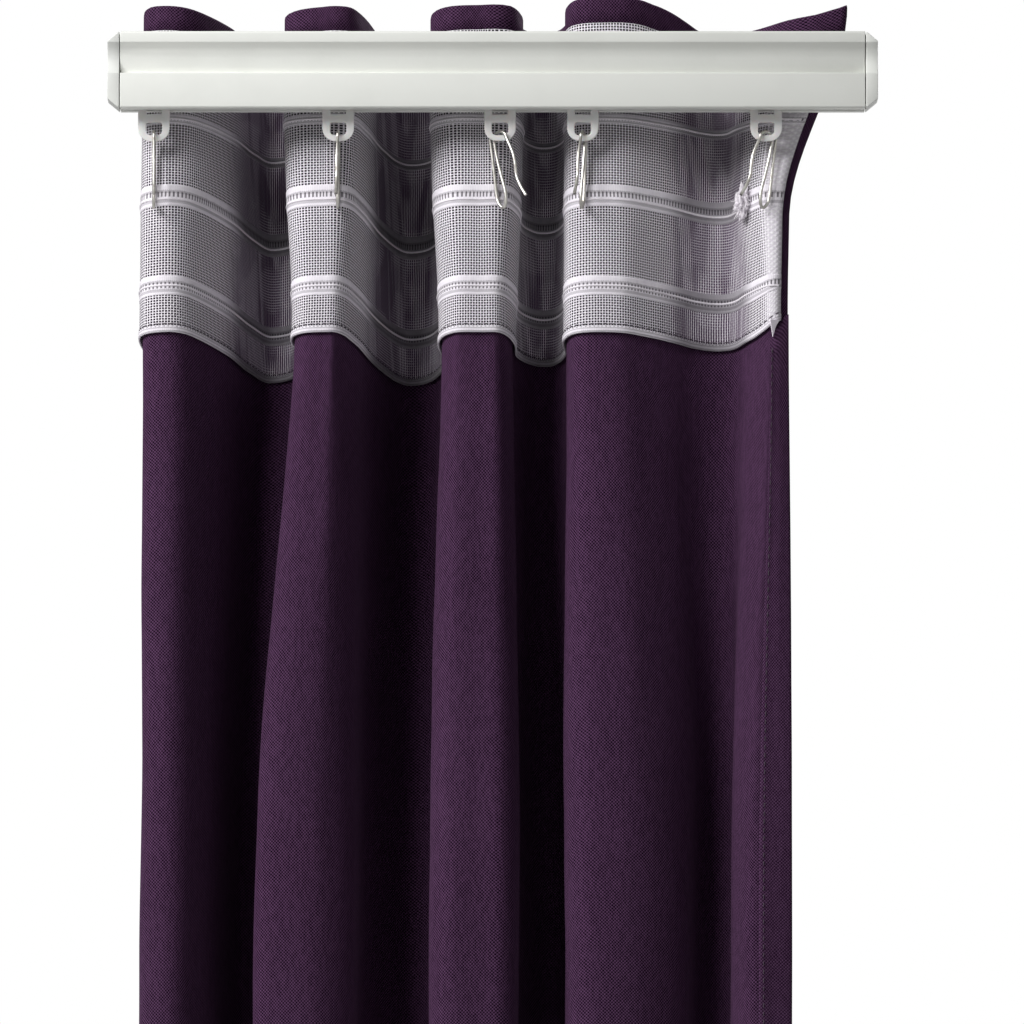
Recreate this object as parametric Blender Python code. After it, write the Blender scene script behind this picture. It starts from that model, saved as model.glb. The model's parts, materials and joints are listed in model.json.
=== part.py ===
"""A pleated curtain panel hung by wire hooks from a short length of curtain track.

The frame: the origin is the middle of the track's top face, where it is screwed
up. +X runs along the track, +Y points into the room and +Z up. The heading tape
is on the -Y side of the cloth, the side that faces the window.
"""

import math

import bmesh
import bpy
from mathutils import Matrix, Vector

# Track
RAIL_LENGTH = 0.269
RAIL_HEIGHT = 0.028
RAIL_DEPTH = 0.016
RAIL_WALL = 0.0015
RAIL_EDGE = 0.0006
GROOVE_TOP = 0.004
GROOVE_BOTTOM = 0.0152
GROOVE_DEPTH = 0.0026
CHANNEL_TOP = 0.018
SLOT_WIDTH = 0.004
CAP_THICKNESS = 0.0043
CAP_BEVEL = 0.0036
CAP_PLUG = 0.003

# Gliders
GLIDER_X = (-0.1224, -0.0558, 0.0027, 0.0326, 0.0988)
GLIDER_WIDTH = 0.0114
GLIDER_PLATE = 0.002
GLIDER_HEAD_DEPTH = 0.010
GLIDER_HEAD_HEIGHT = 0.0018
GLIDER_DROP = 0.0112
GLIDER_POST = 0.0029
GLIDER_CROSSBAR_TOP = 0.0015
EYE_WIDTH = 0.0059
EYE_HEIGHT = 0.0047
EYE_SILL = 0.0021
CORNER_STEPS = 5

# Hooks. Their twist is in degrees about the vertical.
WIRE_DIAMETER = 0.0012
HOOK_PLAY_ABOVE_SILL = 0.00075
HOOK_PLAY_ACROSS_SILL = 0.0016
HOOK_LENGTH = 0.0252
HOOK_TWIST = (2, -3, 45, -14, -45)

# Cloth, its hems and the tape sewn to it
CLOTH_THICKNESS = 0.001
HEADING_ABOVE_TRACK = 0.012
DROP = 1.37
TAPE_BELOW_TOP = 0.004
TAPE_HEIGHT = 0.114
TAPE_THICKNESS = 0.0006
BOTTOM_HEM_HEIGHT = 0.04
HEM_THICKNESS = 0.0008
CORD_DIAMETER = 0.0012
CORD_BELOW_BEND = 0.0267
KNOT_SIZE = (0.0042, 0.0036, 0.0088)

# Clearances
GAP = 0.0003
HEADING_TO_TRACK = 0.0012
HEADING_LEAN_BACK = 0.0088

# How far the folds shift and sag between the heading and the free cloth
FOLDS_SETTLE_FROM = -0.06
FOLDS_SETTLE_TO = -0.33
VALLEY_SAG = 0.011
FLARE_AT_CORNER = 0.0205
FLARE_FROM = -0.066
SAMPLES_PER_POINT = 2

# Plan of the folds, in millimetres: x and depth behind the front of the folds at
# the heading, then both in the free cloth. It starts at the left edge, turned back.
FOLD_1 = [
    (-113.2, 42, -115.4, 42), (-123.3, 26, -124.7, 26), (-125.8, 7, -125.8, 7),
    (-121.0, 0.4, -121.0, 0.4), (-110.7, 2.5, -110.7, 2.5), (-97.4, 24, -101.3, 24),
    (-89.1, 46, -96.3, 46), (-81.9, 58, -90.9, 56),
]
FOLD_2 = [
    (-70.7, 52, -83.0, 50), (-67.9, 31, -80.1, 30), (-72.5, 10, -85.1, 10),
    (-69.3, 2, -82.3, 2.5), (-61.4, 0, -72.2, 0), (-54.5, 1, -60.3, 3),
    (-49.1, 14, -51.0, 14), (-41.9, 42, -47.2, 38), (-33.3, 60, -33.6, 56),
]
FOLD_3 = [
    (-21.8, 57, -23.2, 54), (-16.4, 38, -17.8, 36), (-19.6, 12, -22.1, 12),
    (-14.6, 1, -16.7, 1), (-4.5, 0, -4.5, 0), (3.8, 1, 4.6, 2), (8.1, 14, 8.8, 14),
    (8.5, 28, 8.6, 36), (15.0, 38, 17.8, 50),
]
FOLD_4 = [
    (23.5, 37, 26.5, 48), (27.9, 26, 29.3, 32), (27.4, 10, 26.1, 12), (32.2, 1, 32.2, 1),
    (45.9, 0.5, 47.7, 0.5), (56.7, 6, 60.3, 7), (65.5, 12, 69.5, 18), (73.0, 18, 74.0, 32),
    (80.5, 21, 80.5, 38),
]
FOLD_5 = [
    (87.5, 19, 87.0, 33), (92.5, 10, 85.5, 16), (98.8, 0.8, 91.5, 0.8),
    (102.8, 0.4, 100.6, 0.4), (107.1, 2, 107.1, 2),
]
FOLDS = (FOLD_1, FOLD_2, FOLD_3, FOLD_4, FOLD_5)
LEFT_HEM_POINTS = 1
RIGHT_HEM_POINTS = 2
KNOT_POINTS_PAST_VALLEY = 1.8
CORD_END_POINTS = 0.08

# Heights that follow from the sizes above. The sill is the bar under a glider's eye.
SILL_Z = -RAIL_HEIGHT - GLIDER_DROP + EYE_SILL / 2
HEM_Z = HEADING_ABOVE_TRACK - DROP
TAPE_TOP_Z = HEADING_ABOVE_TRACK - TAPE_BELOW_TOP
TAPE_BOTTOM_Z = TAPE_TOP_Z - TAPE_HEIGHT
CORD_Z = SILL_Z - CORD_BELOW_BEND

# The hook's arch over the sill, and how far its pin lies in front of the eyes
HOOK_BEND_WIDTH = GLIDER_PLATE + 2 * (WIRE_DIAMETER / 2 + HOOK_PLAY_ACROSS_SILL)
HOOK_BEND_HEIGHT = EYE_SILL / 2 + WIRE_DIAMETER / 2 + HOOK_PLAY_ABOVE_SILL
PIN_Y = 0.24 * HOOK_BEND_WIDTH

# Where the cloth's middle lies at the front of the folds, at each height. The
# tape's face stands clear of the track and against the hooks' pins. The heading
# leans back past the track, and the free cloth hangs with its weight under the eyes.
TAPE_BUILD = CLOTH_THICKNESS / 2 + GAP + TAPE_THICKNESS
TRACK_LINE_Y = RAIL_DEPTH / 2 + HEADING_TO_TRACK + TAPE_BUILD
PIN_LINE_Y = PIN_Y + WIRE_DIAMETER / 2 - GAP + TAPE_BUILD
FRONT_LINE = (
    (HEADING_ABOVE_TRACK, TRACK_LINE_Y + HEADING_LEAN_BACK),
    (-RAIL_HEIGHT, TRACK_LINE_Y),
    (SILL_Z - 0.0238, PIN_LINE_Y),
    (min(TAPE_BOTTOM_Z, SILL_Z - 0.05), PIN_LINE_Y - 0.0062),
    (-0.200, PIN_LINE_Y - 0.0162),
    (-0.330, PIN_LINE_Y - 0.0262),
    (-0.700, PIN_LINE_Y - 0.0340),
    (HEM_Z, PIN_LINE_Y - 0.0340),
)

# Colour, roughness and metallic value of each kind of piece
FINISHES = {
    "rail": ((0.66, 0.67, 0.64), 0.42, 0.0),
    "cap": ((0.70, 0.71, 0.68), 0.45, 0.0),
    "glider": ((0.78, 0.77, 0.76), 0.35, 0.0),
    "wire": ((0.42, 0.40, 0.38), 0.35, 1.0),
    "cloth": ((0.043, 0.019, 0.045), 0.85, 0.0),
    "tape": ((0.62, 0.58, 0.66), 0.9, 0.0),
    "cord": ((0.80, 0.78, 0.78), 0.9, 0.0),
}


def clear_scene():
    for obj in list(bpy.data.objects):
        bpy.data.objects.remove(obj, do_unlink=True)


def make_material(name, kind):
    colour, roughness, metallic = FINISHES[kind]
    material = bpy.data.materials.new(name)
    material.use_nodes = True
    shader = material.node_tree.nodes["Principled BSDF"]
    shader.inputs["Base Color"].default_value = (*colour, 1)
    shader.inputs["Roughness"].default_value = roughness
    shader.inputs["Metallic"].default_value = metallic
    return material


def make_empty(name, place, parent=None):
    empty = bpy.data.objects.new(name, None)
    empty.empty_display_size = 0.01
    bpy.context.scene.collection.objects.link(empty)
    empty.parent = parent
    parent_place = parent["place"] if parent else (0, 0, 0)
    empty.location = Vector(place) - Vector(parent_place)
    empty["place"] = tuple(place)
    return empty


def add_object(name, data, kind, parent):
    """Link mesh or curve data, given in the world's frame, under its body's empty."""
    data.transform(Matrix.Translation(-Vector(parent["place"])))
    obj = bpy.data.objects.new(name, data)
    bpy.context.scene.collection.objects.link(obj)
    obj.parent = parent
    data.materials.append(make_material(name, kind))
    return obj


def add_mesh(name, bm, kind, parent):
    mesh = bpy.data.meshes.new(name)
    bm.to_mesh(mesh)
    bm.free()
    return add_object(name, mesh, kind, parent)


def add_tool(name, bm, target, operation):
    """A hidden helper that a Boolean adds to its target or cuts from it."""
    tool = add_mesh(name, bm, "rail", target.parent)
    tool.hide_render = True
    tool.display_type = "WIRE"
    modifier = target.modifiers.new(name, "BOOLEAN")
    modifier.operation = operation
    modifier.solver = "EXACT"
    modifier.object = tool


def sweep(outline, axis, start, end):
    """A flat outline in the plane across an axis, swept along it from start to end."""
    bm = bmesh.new()
    corners = []
    for a, b in outline:
        place = [a, b]
        place.insert(axis, start)
        corners.append(bm.verts.new(place))
    face = bm.faces.new(corners)
    swept = bmesh.ops.extrude_face_region(bm, geom=[face])["geom"]
    moved = [part for part in swept if isinstance(part, bmesh.types.BMVert)]
    travel = Vector((0, 0, 0))
    travel[axis] = end - start
    bmesh.ops.translate(bm, verts=moved, vec=travel)
    bmesh.ops.recalc_face_normals(bm, faces=bm.faces)
    return bm


def block(low, high):
    outline = [(low[1], low[2]), (high[1], low[2]), (high[1], high[2]), (low[1], high[2])]
    return sweep(outline, 0, low[0], high[0])


def rounded_box(half_width, low, high, low_radius, high_radius):
    """Outline of an upright rectangle, x then z, with its own radius low and high."""
    centres = (
        (half_width - low_radius, low + low_radius, low_radius, -90),
        (half_width - high_radius, high - high_radius, high_radius, 0),
        (high_radius - half_width, high - high_radius, high_radius, 90),
        (low_radius - half_width, low + low_radius, low_radius, 180),
    )
    points = []
    for x, z, radius, first in centres:
        for step in range(CORNER_STEPS + 1 if radius else 1):
            angle = math.radians(first + 90 * step / CORNER_STEPS)
            points.append((x + radius * math.cos(angle), z + radius * math.sin(angle)))
    return points


# Track


def groove_points(steps=6):
    """The hollow along the rail's window side, as an arc of its chord and depth."""
    half = (GROOVE_BOTTOM - GROOVE_TOP) / 2
    radius = (half**2 + GROOVE_DEPTH**2) / (2 * GROOVE_DEPTH)
    spread = math.asin(half / radius)
    centre_y = -RAIL_DEPTH / 2 + GROOVE_DEPTH - radius
    centre_z = -(GROOVE_TOP + GROOVE_BOTTOM) / 2
    for step in range(steps + 1):
        angle = spread * (1 - 2 * step / steps)
        yield centre_y + radius * math.cos(angle), centre_z + radius * math.sin(angle)


def rail_outer():
    side = RAIL_DEPTH / 2
    left = [(-side + RAIL_EDGE, 0), (-side, -RAIL_EDGE), *groove_points()]
    left += [(-side, -RAIL_HEIGHT + RAIL_EDGE), (-side + RAIL_EDGE, -RAIL_HEIGHT)]
    right = [(side - RAIL_EDGE, -RAIL_HEIGHT), (side, -RAIL_HEIGHT + RAIL_EDGE)]
    right += [(side, -RAIL_EDGE), (side - RAIL_EDGE, 0)]
    return left, right


def rail_chamber(clearance=0.0):
    """The closed upper hollow of the rail: low and high corners, y and z."""
    low_y = -RAIL_DEPTH / 2 + GROOVE_DEPTH + RAIL_WALL + clearance
    high_y = RAIL_DEPTH / 2 - RAIL_WALL - clearance
    return (low_y, -CHANNEL_TOP + RAIL_WALL + clearance), (high_y, -RAIL_WALL - clearance)


def rail_channel(clearance=0.0):
    """The lower hollow that the gliders run in: low and high corners, y and z."""
    half = RAIL_DEPTH / 2 - RAIL_WALL - clearance
    return (-half, -RAIL_HEIGHT + RAIL_WALL + clearance), (half, -CHANNEL_TOP - clearance)


def add_rail(track):
    left, right = rail_outer()
    (low_y, low_z), (high_y, high_z) = rail_channel()
    slot = SLOT_WIDTH / 2
    channel = [(-slot, -RAIL_HEIGHT), (-slot, low_z), (low_y, low_z), (low_y, high_z)]
    channel += [(high_y, high_z), (high_y, low_z), (slot, low_z), (slot, -RAIL_HEIGHT)]
    half = RAIL_LENGTH / 2
    rail = add_mesh("track_rail", sweep(left + channel + right, 0, -half, half), "rail", track)
    low, high = rail_chamber()
    chamber = block((-half - GAP, *low), (half + GAP, *high))
    add_tool("rail_chamber_cutter", chamber, rail, "DIFFERENCE")


def add_end_cap(name, side, track):
    """A cap whose plug fills the rail's two hollows and stops the gliders."""
    face = RAIL_LENGTH / 2 + GAP
    left, right = rail_outer()
    plate = sweep(left + right, 0, face, face + CAP_THICKNESS)
    for z, up in ((0, 1), (-RAIL_HEIGHT, -1)):
        corner = Vector((face + CAP_THICKNESS, 0, z - up * CAP_BEVEL))
        outward = Vector((CAP_BEVEL, 0, up * CAP_THICKNESS)).normalized()
        everything = [*plate.verts, *plate.edges, *plate.faces]
        cut = bmesh.ops.bisect_plane(
            plate, geom=everything, plane_co=corner, plane_no=outward, clear_outer=True
        )
        rim = [part for part in cut["geom_cut"] if isinstance(part, bmesh.types.BMEdge)]
        bmesh.ops.contextual_create(plate, geom=rim)
    plugs = []
    for low, high in (rail_chamber(GAP), rail_channel(GAP)):
        plugs.append(block((face - GAP - CAP_PLUG, *low), (face + CAP_THICKNESS / 2, *high)))
    for bm in (plate, *plugs):
        bmesh.ops.scale(bm, vec=(side, 1, 1), verts=bm.verts)
        bmesh.ops.recalc_face_normals(bm, faces=bm.faces)
    cap = add_mesh(name, plate, "cap", track)
    for plug, part in zip(plugs, ("chamber", "channel")):
        add_tool(f"{name}_{part}_plug", plug, cap, "UNION")


# Gliders


def add_glider(number, carrier):
    """A T-shaped runner: its head rides on the rail's lips, its eye takes a hook."""
    x = GLIDER_X[number - 1]
    foot = -RAIL_HEIGHT - GLIDER_DROP
    head_low = -RAIL_HEIGHT + RAIL_WALL + GAP
    middle = head_low + GLIDER_HEAD_HEIGHT / 2
    half = GLIDER_WIDTH / 2
    name = f"glider_{number}"
    outline = [(x + a, z) for a, z in rounded_box(half, foot, middle, half * 0.8, 0)]
    plate = sweep(outline, 1, -GLIDER_PLATE / 2, GLIDER_PLATE / 2)
    glider = add_mesh(name, plate, "glider", carrier)

    eye_low = foot + EYE_SILL
    outline = rounded_box(EYE_WIDTH / 2, eye_low, eye_low + EYE_HEIGHT, 0.0016, 0.0009)
    outline = [(x + a, z) for a, z in outline]
    eye = sweep(outline, 1, -GLIDER_PLATE, GLIDER_PLATE)
    add_tool(f"{name}_eye_cutter", eye, glider, "DIFFERENCE")

    inner = half - GLIDER_POST
    crossbar = -RAIL_HEIGHT - GLIDER_CROSSBAR_TOP
    window = block((x - inner, -GLIDER_PLATE, crossbar), (x + inner, GLIDER_PLATE, head_low))
    add_tool(f"{name}_window_cutter", window, glider, "DIFFERENCE")

    depth = GLIDER_HEAD_DEPTH / 2
    top = head_low + GLIDER_HEAD_HEIGHT
    head = block((x - half, -depth, head_low), (x + half, depth, top))
    add_tool(f"{name}_head", head, glider, "UNION")


# Smooth curves


def smooth(points, t):
    """A Catmull-Rom curve through points, read at t, counted in points."""
    last = len(points) - 1
    i = min(int(t), last - 1)
    f = t - i
    before, after = points[max(i - 1, 0)], points[min(i + 2, last)]
    found = []
    for a, b, c, d in zip(before, points[i], points[i + 1], after):
        bend = (2 * a - 5 * b + 4 * c - d) * f**2 + (3 * (b - c) + d - a) * f**3
        found.append(b + 0.5 * ((c - a) * f + bend))
    return found


def ease(value, start, end):
    """0 before start, 1 past end, with a smooth step between them."""
    part = min(max((value - start) / (end - start), 0), 1)
    return part * part * (3 - 2 * part)


def along(stations, z):
    """Read a value at a height, straight between stations listed from the top down."""
    for (high, a), (low, b) in zip(stations, stations[1:]):
        if z >= low:
            return a + (b - a) * min(max((high - z) / (high - low), 0), 1)
    return stations[-1][1]


# Hooks


def hook_points():
    """The wire's line, across the hook and up from the sill that it hangs on."""
    half, top, low = HOOK_BEND_WIDTH / 2, HOOK_BEND_HEIGHT, -HOOK_LENGTH
    pin = [(-1.6 * half, 0), (-1.0 * half, 0.45 * low), (-0.47 * half, 0.86 * low)]
    bend = [(0.1 * half, 0.975 * low), (0.6 * half, low), (0.92 * half, 0.93 * low)]
    rise = [(0.85 * half, 0.78 * low), (0.3 * half, 0.58 * low), (-0.5 * half, 0.28 * low)]
    arch = []
    for degrees in (180, 150, 120, 90, 60, 30, 0):
        angle = math.radians(degrees)
        arch.append((half * math.cos(angle), top * math.sin(angle)))
    spring = [(2.0 * half, 0.22 * low), (2.4 * half, 0.4 * low)]
    spring += [(2.6 * half, 0.56 * low), (3.3 * half, 0.72 * low), (4.1 * half, 0.85 * low)]
    return pin + bend + rise + arch + spring


def add_hook(number, section):
    """A sprung wire hook: its hairpin holds the tape, its arch hangs in the eye."""
    route = hook_points()
    turn = math.radians(HOOK_TWIST[number - 1])
    points = []
    for step in range(2 * (len(route) - 1) + 1):
        across, up = smooth(route, step / 2)
        x = GLIDER_X[number - 1] + across * math.sin(turn)
        points.append((x, -across * math.cos(turn), SILL_Z + up))
    add_tube(f"hook_{number}", points, WIRE_DIAMETER, "wire", section)


def add_tube(name, points, diameter, kind, parent):
    curve = bpy.data.curves.new(name, "CURVE")
    curve.dimensions = "3D"
    curve.bevel_depth = diameter / 2
    curve.bevel_resolution = 2
    curve.use_fill_caps = True
    spline = curve.splines.new("POLY")
    spline.points.add(len(points) - 1)
    for point, place in zip(spline.points, points):
        point.co = (*place, 1)
    return add_object(name, curve, kind, parent)


# Cloth


PLAN = [point for fold in FOLDS for point in fold]
LAST = len(PLAN) - 1
VALLEYS = [sum(len(fold) for fold in FOLDS[: k + 1]) - 1 for k in range(len(FOLDS))]
DEEPEST = max(point[1] for point in PLAN) / 1000


def cloth_point(t, z, offset=0.0):
    """A point of the cloth: t along the folds, z its height, offset to the -Y side."""

    def middle(at):
        heading_x, heading_depth, free_x, free_depth = smooth(PLAN, min(max(at, 0), LAST))
        settled = ease(z, FOLDS_SETTLE_FROM, FOLDS_SETTLE_TO)
        x = (heading_x + (free_x - heading_x) * settled) / 1000
        depth = (heading_depth + (free_depth - heading_depth) * settled) / 1000
        corner = ease(at, VALLEYS[-2] + 1, LAST)
        x += corner * FLARE_AT_CORNER * ease(z, FLARE_FROM, HEADING_ABOVE_TRACK)
        return Vector((x, along(FRONT_LINE, z) + depth))

    step = 0.05
    run = middle(t + step) - middle(t - step)
    run.normalize()
    plan = middle(t) + offset * Vector((run.y, -run.x))
    depth = plan.y - along(FRONT_LINE, z)
    sag = VALLEY_SAG * (1 - ease(z, TAPE_BOTTOM_Z, -0.7)) * depth / DEEPEST
    return Vector((plan.x, plan.y, z - sag))


def add_layer(name, ends, heights, offsets, kind, parent):
    """A flat slab of grid squares, bent to the folds: t ends, heights, two offsets."""
    columns = max(round((ends[1] - ends[0]) * SAMPLES_PER_POINT), 1)
    rows = len(heights) - 1
    bm = bmesh.new()
    bmesh.ops.create_grid(bm, x_segments=columns, y_segments=rows, size=0.5)
    swept = bmesh.ops.extrude_face_region(bm, geom=bm.faces[:])["geom"]
    moved = [part for part in swept if isinstance(part, bmesh.types.BMVert)]
    bmesh.ops.translate(bm, verts=moved, vec=(0, 0, 1))
    bmesh.ops.recalc_face_normals(bm, faces=bm.faces)
    for vert in bm.verts:
        t = ends[0] + (vert.co.x + 0.5) * (ends[1] - ends[0])
        z = heights[round((vert.co.y + 0.5) * rows)]
        vert.co = cloth_point(t, z, offsets[round(vert.co.z)])
    # The slab's rows run down and its top faces -Y, so the bend mirrors it.
    bmesh.ops.reverse_faces(bm, faces=bm.faces)
    return add_mesh(name, bm, kind, parent)


def fold_ends(number):
    """Where fold number starts and ends in t, split from its neighbours by a gap."""
    apart = GAP / 0.008
    start = 0 if number == 1 else VALLEYS[number - 2] + apart
    end = VALLEYS[number - 1] - (0 if number == len(FOLDS) else apart)
    return start, end


def add_fold(number, section):
    ends = fold_ends(number)
    face = CLOTH_THICKNESS / 2
    heights = [TAPE_TOP_Z, TAPE_BOTTOM_Z, HEM_Z + BOTTOM_HEM_HEIGHT]
    heights = sorted({*heights, *(z for z, _ in FRONT_LINE)}, reverse=True)
    add_layer(f"curtain_fold_{number}", ends, heights, (-face, face), "cloth", section)

    offsets = (face + GAP, face + GAP + TAPE_THICKNESS)
    taped = [z for z in heights if TAPE_BOTTOM_Z <= z <= TAPE_TOP_Z]
    add_layer(f"heading_tape_{number}", ends, taped, offsets, "tape", section)

    offsets = (face + GAP, face + GAP + HEM_THICKNESS)
    hemmed = (HEM_Z + BOTTOM_HEM_HEIGHT, HEM_Z)
    add_layer(f"bottom_hem_{number}", ends, hemmed, offsets, "cloth", section)


def add_side_hem(name, ends, section):
    """The turned edge of the cloth, between the tape and the bottom hem."""
    face = CLOTH_THICKNESS / 2
    top, bottom = TAPE_BOTTOM_Z - GAP, HEM_Z + BOTTOM_HEM_HEIGHT + GAP
    heights = [top, *(z for z, _ in FRONT_LINE if bottom < z < top), bottom]
    add_layer(name, ends, heights, (face + GAP, face + GAP + HEM_THICKNESS), "cloth", section)


def cord_place(t, lift):
    face = CLOTH_THICKNESS / 2 + GAP + TAPE_THICKNESS + GAP
    return cloth_point(t, CORD_Z, face + lift)


def add_cord(number, section):
    """One fold's run of the draw cord, lying on the tape under the hooks."""
    start, end = fold_ends(number)
    start, end = start + CORD_END_POINTS, end - CORD_END_POINTS
    if number == len(FOLDS):
        end = knot_t() - 0.5
    steps = max(round((end - start) * SAMPLES_PER_POINT), 2)
    points = []
    for step in range(steps + 1):
        points.append(cord_place(start + (end - start) * step / steps, CORD_DIAMETER / 2))
    add_tube(f"draw_cord_{number}", points, CORD_DIAMETER, "cord", section)


def knot_t():
    return VALLEYS[-2] + KNOT_POINTS_PAST_VALLEY


def add_knot(section):
    bm = bmesh.new()
    bmesh.ops.create_icosphere(bm, subdivisions=2, radius=0.5)
    bmesh.ops.scale(bm, vec=KNOT_SIZE, verts=bm.verts)
    place = cord_place(knot_t(), KNOT_SIZE[0] / 2 + GAP)
    bmesh.ops.translate(bm, verts=bm.verts, vec=place)
    add_mesh("cord_knot", bm, "cord", section)


def main():
    clear_scene()
    track = make_empty("track", (0, 0, 0))
    add_rail(track)
    add_end_cap("end_cap_left", -1, track)
    add_end_cap("end_cap_right", 1, track)
    sections = []
    for number, x in enumerate(GLIDER_X, 1):
        carrier = make_empty(f"carrier_{number}", (x, 0, SILL_Z), track)
        section = make_empty(f"section_{number}", (x, 0, SILL_Z), carrier)
        sections.append(section)
        add_glider(number, carrier)
        add_hook(number, section)
        add_fold(number, section)
        add_cord(number, section)
    add_side_hem("side_hem_left", (0, LEFT_HEM_POINTS), sections[0])
    add_side_hem("side_hem_right", (LAST - RIGHT_HEM_POINTS, LAST), sections[-1])
    add_knot(sections[-1])


main()
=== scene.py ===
# %% [markdown]
# # A pleated curtain on a short length of track
# The curtain hangs from a white track and is seen from its window side, so the
# net heading tape, the wire hooks and the gliders are all in view. The CAD frame
# already holds every piece at its real size. This lesson gives each one its
# finished surface. Lengths are in metres, +X runs along the track, +Y points
# into the room and +Z is up.

# %% Load the frame
import functools
import json
import math

import bmesh
import bpy
from mathutils import Matrix, Vector, noise


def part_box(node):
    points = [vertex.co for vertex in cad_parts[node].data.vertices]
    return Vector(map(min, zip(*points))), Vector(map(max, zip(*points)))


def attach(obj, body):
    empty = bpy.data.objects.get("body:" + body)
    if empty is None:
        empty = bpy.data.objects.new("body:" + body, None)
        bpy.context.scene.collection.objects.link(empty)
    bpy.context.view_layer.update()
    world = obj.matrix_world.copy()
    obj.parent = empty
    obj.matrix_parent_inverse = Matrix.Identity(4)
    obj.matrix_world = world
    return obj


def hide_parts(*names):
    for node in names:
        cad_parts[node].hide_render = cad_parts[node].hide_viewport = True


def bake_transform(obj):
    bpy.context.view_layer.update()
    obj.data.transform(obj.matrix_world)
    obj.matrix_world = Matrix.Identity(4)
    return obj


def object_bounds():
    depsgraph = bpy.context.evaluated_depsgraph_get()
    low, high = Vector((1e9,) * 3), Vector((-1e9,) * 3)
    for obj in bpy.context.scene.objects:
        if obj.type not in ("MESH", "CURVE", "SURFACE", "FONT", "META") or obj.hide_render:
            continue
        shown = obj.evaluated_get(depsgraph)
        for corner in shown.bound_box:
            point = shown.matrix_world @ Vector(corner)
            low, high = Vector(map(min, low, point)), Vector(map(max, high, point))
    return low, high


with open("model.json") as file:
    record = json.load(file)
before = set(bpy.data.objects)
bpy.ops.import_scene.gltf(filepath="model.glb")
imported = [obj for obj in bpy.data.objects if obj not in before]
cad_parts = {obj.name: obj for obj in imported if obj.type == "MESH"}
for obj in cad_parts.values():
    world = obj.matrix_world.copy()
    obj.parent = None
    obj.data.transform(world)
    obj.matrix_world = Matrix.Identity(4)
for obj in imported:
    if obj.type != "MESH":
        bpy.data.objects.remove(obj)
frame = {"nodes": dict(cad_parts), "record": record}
cad_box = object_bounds()
print("frame:", len(frame["nodes"]), "nodes")

# %% [markdown]
# ## Camera
# A curtain is drawn well with almost no perspective, so the camera stands five
# metres off with a very long lens. It looks up a little, which is why the
# underside of the track shows and the deep parts of the folds seem to drop.

# %% Camera
RAIL_LOW, RAIL_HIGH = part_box("track_rail")
LOOK_UP = math.radians(4.5)
CAMERA_DISTANCE = 5.12
aim = Vector((0.007, RAIL_LOW[1], RAIL_HIGH[2] - 0.1742))
lens = bpy.data.cameras.new("camera")
lens.lens = 500
lens.clip_start, lens.clip_end = 0.1, 50
camera = bpy.data.objects.new("camera", lens)
camera.location = aim - CAMERA_DISTANCE * Vector((0, math.cos(LOOK_UP), math.sin(LOOK_UP)))
camera.rotation_euler = (math.radians(90) + LOOK_UP, 0, 0)
bpy.context.scene.collection.objects.link(camera)
bpy.context.scene.camera = camera
print("camera at", tuple(round(value, 3) for value in camera.location))

# %% [markdown]
# ## Light
# Soft studio light: a large key lamp from the left and above, which catches the
# left flank of each fold, a weak fill from the right, and a white surround that
# only the camera sees at full strength. Keeping the surround dim for everything
# else leaves the deep folds almost black, as they are in dark cloth.

# %% World
SURROUND_DIM, SURROUND_IN_GLOSS = 0.035, 0.45
world = bpy.data.worlds.new("studio")
bpy.context.scene.world = world
world.use_nodes = True
world_tree = world.node_tree
world_tree.nodes.clear()
ray = world_tree.nodes.new("ShaderNodeLightPath")


def surround(grey):
    background = world_tree.nodes.new("ShaderNodeBackground")
    background.inputs["Color"].default_value = (grey, grey, grey, 1)
    return background


def choose(seen_by, if_not, if_so):
    mix = world_tree.nodes.new("ShaderNodeMixShader")
    world_tree.links.new(ray.outputs[seen_by], mix.inputs[0])
    world_tree.links.new(if_not.outputs[0], mix.inputs[1])
    world_tree.links.new(if_so.outputs[0], mix.inputs[2])
    return mix


felt = choose("Is Glossy Ray", surround(SURROUND_DIM), surround(SURROUND_IN_GLOSS))
seen = choose("Is Camera Ray", felt, surround(1))
world_out = world_tree.nodes.new("ShaderNodeOutputWorld")
world_tree.links.new(seen.outputs[0], world_out.inputs["Surface"])
bpy.context.scene.view_settings.view_transform = "Standard"
print("world: white to the camera, dim to the cloth")

# %% Lamps


def add_lamp(name, azimuth, height, distance, size, power):
    """A soft lamp at an angle right of the camera and an angle up, aimed at the curtain's top."""
    data = bpy.data.lights.new(name, "AREA")
    data.shape = "RECTANGLE"
    data.size, data.size_y = size
    data.energy = power
    lamp = bpy.data.objects.new(name, data)
    across, up = math.radians(azimuth), math.radians(height)
    towards = Vector((math.sin(across) * math.cos(up), -math.cos(across) * math.cos(up), math.sin(up)))
    target = Vector((0, 0, -0.2))
    lamp.location = target + towards * distance
    lamp.rotation_euler = (-towards).to_track_quat("-Z", "Y").to_euler()
    bpy.context.scene.collection.objects.link(lamp)


add_lamp("key", -66, 34, 2.8, (0.8, 0.9), 54)
add_lamp("front", -37, 36, 2.8, (0.9, 0.9), 44)
add_lamp("right_fill", 40, 12, 2.8, (1.4, 1.4), 4)
add_lamp("room_side", 150, 20, 2.8, (1.4, 1.4), 45)
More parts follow.
